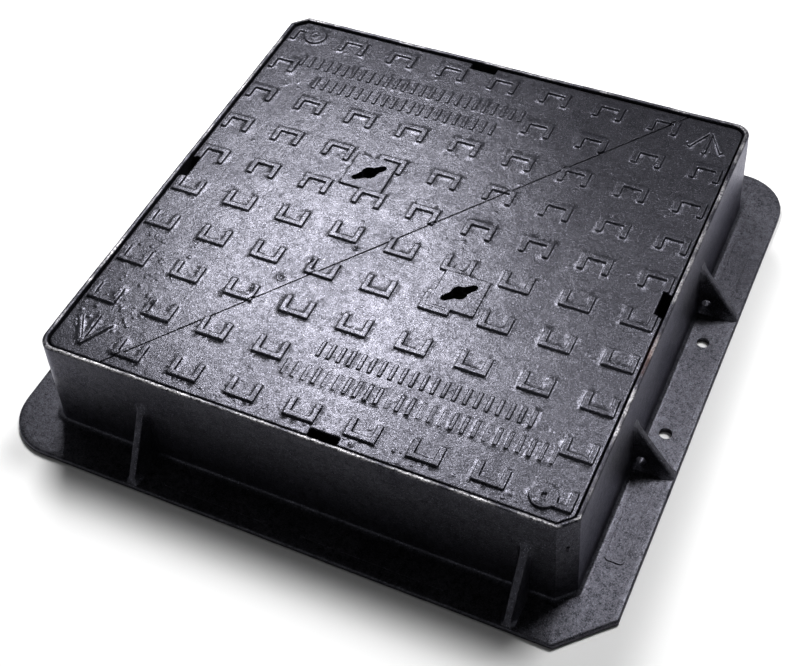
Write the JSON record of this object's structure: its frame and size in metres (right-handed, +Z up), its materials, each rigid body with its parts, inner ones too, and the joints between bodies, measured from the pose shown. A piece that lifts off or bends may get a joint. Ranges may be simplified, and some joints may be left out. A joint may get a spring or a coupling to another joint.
{
  "type": "manhole cover",
  "caption": "Square split manhole cover in its flanged frame: ribbed iron leaves with U-shaped treads and keyways, loosely bolted together along a slanting joint.",
  "frame": {"origin": "centre of the square frame on its bedding face, the underside of the flange", "axes": "+Z up, square to the road surface; +X to the right and +Y to the back along the frame's sides, with the chamfered corners at front right and back left"},
  "size_m": [0.81, 0.81, 0.15],
  "materials": {
    "frame_iron": "cold-applied black bitumen coating over cast skin, satin, rim rubbed to bare metal in places",
    "leaf_iron": "cold-applied black bitumen coating over cast skin, glossy and uneven",
    "zinc_steel": "zinc plated, dull",
    "nylon": "natural nylon"
  },
  "bodies": {
    "frame": {"frame_casting": "frame_iron"},
    "rear_left_leaf": {"rear_left_leaf": "leaf_iron", "coupling_bolt_back": "zinc_steel", "head_washer_back": "zinc_steel", "nut_washer_back": "zinc_steel", "lock_nut_back": "zinc_steel", "lock_nut_insert_back": "nylon", "coupling_bolt_front": "zinc_steel", "head_washer_front": "zinc_steel", "nut_washer_front": "zinc_steel", "lock_nut_front": "zinc_steel", "lock_nut_insert_front": "nylon"},
    "front_right_leaf": {"front_right_leaf": "leaf_iron"}
  },
  "joints": [
    {"name": "leaves_lift", "type": "slide", "parent": "frame", "child": "rear_left_leaf", "axis": [0, 0, 1], "range_m": [0, 0.25]},
    {"name": "coupling_fold", "type": "hinge", "parent": "rear_left_leaf", "child": "front_right_leaf", "pos_m": [0, 0, 0.125], "axis": [-0.6103, -0.7922, 0], "range_deg": [0, 2.5]}
  ]
}
